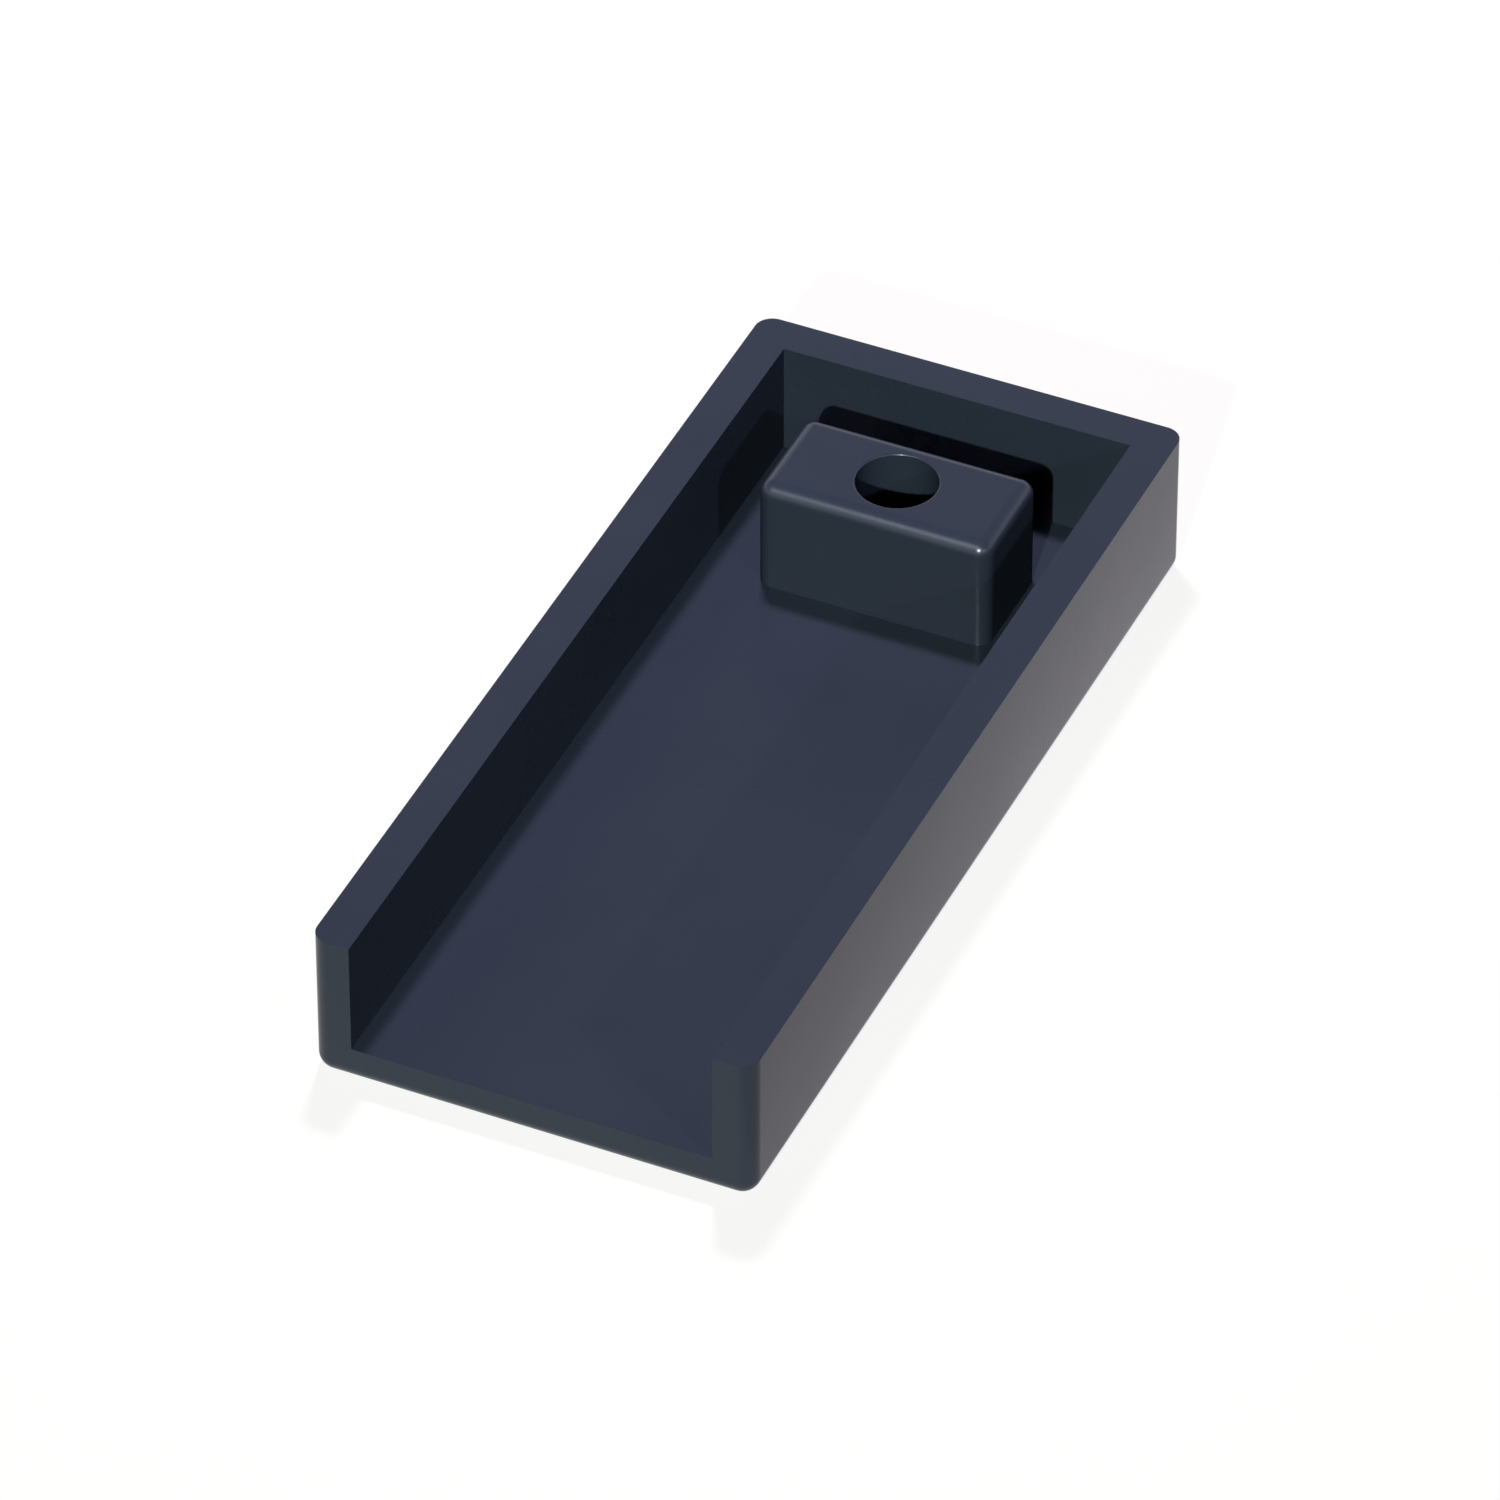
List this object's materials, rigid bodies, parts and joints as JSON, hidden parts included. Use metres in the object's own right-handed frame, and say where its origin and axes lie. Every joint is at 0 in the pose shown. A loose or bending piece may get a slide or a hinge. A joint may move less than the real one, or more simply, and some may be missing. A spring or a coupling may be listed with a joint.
{
  "type": "profile end cap",
  "caption": "Moulded end cap for a flat profile: a shallow tray, open at one end, with a screw block near its closed end.",
  "frame": {"origin": "centre of the flat outer face, under the middle of the cap", "axes": "+X across the cap, +Y along it to the closed end, +Z from the outer face up out of the recess"},
  "size_m": [0.022, 0.05, 0.008],
  "materials": {
    "cap_plastic": "moulded, satin"
  },
  "bodies": {
    "root": {"end_cap": "cap_plastic"}
  },
  "joints": []
}
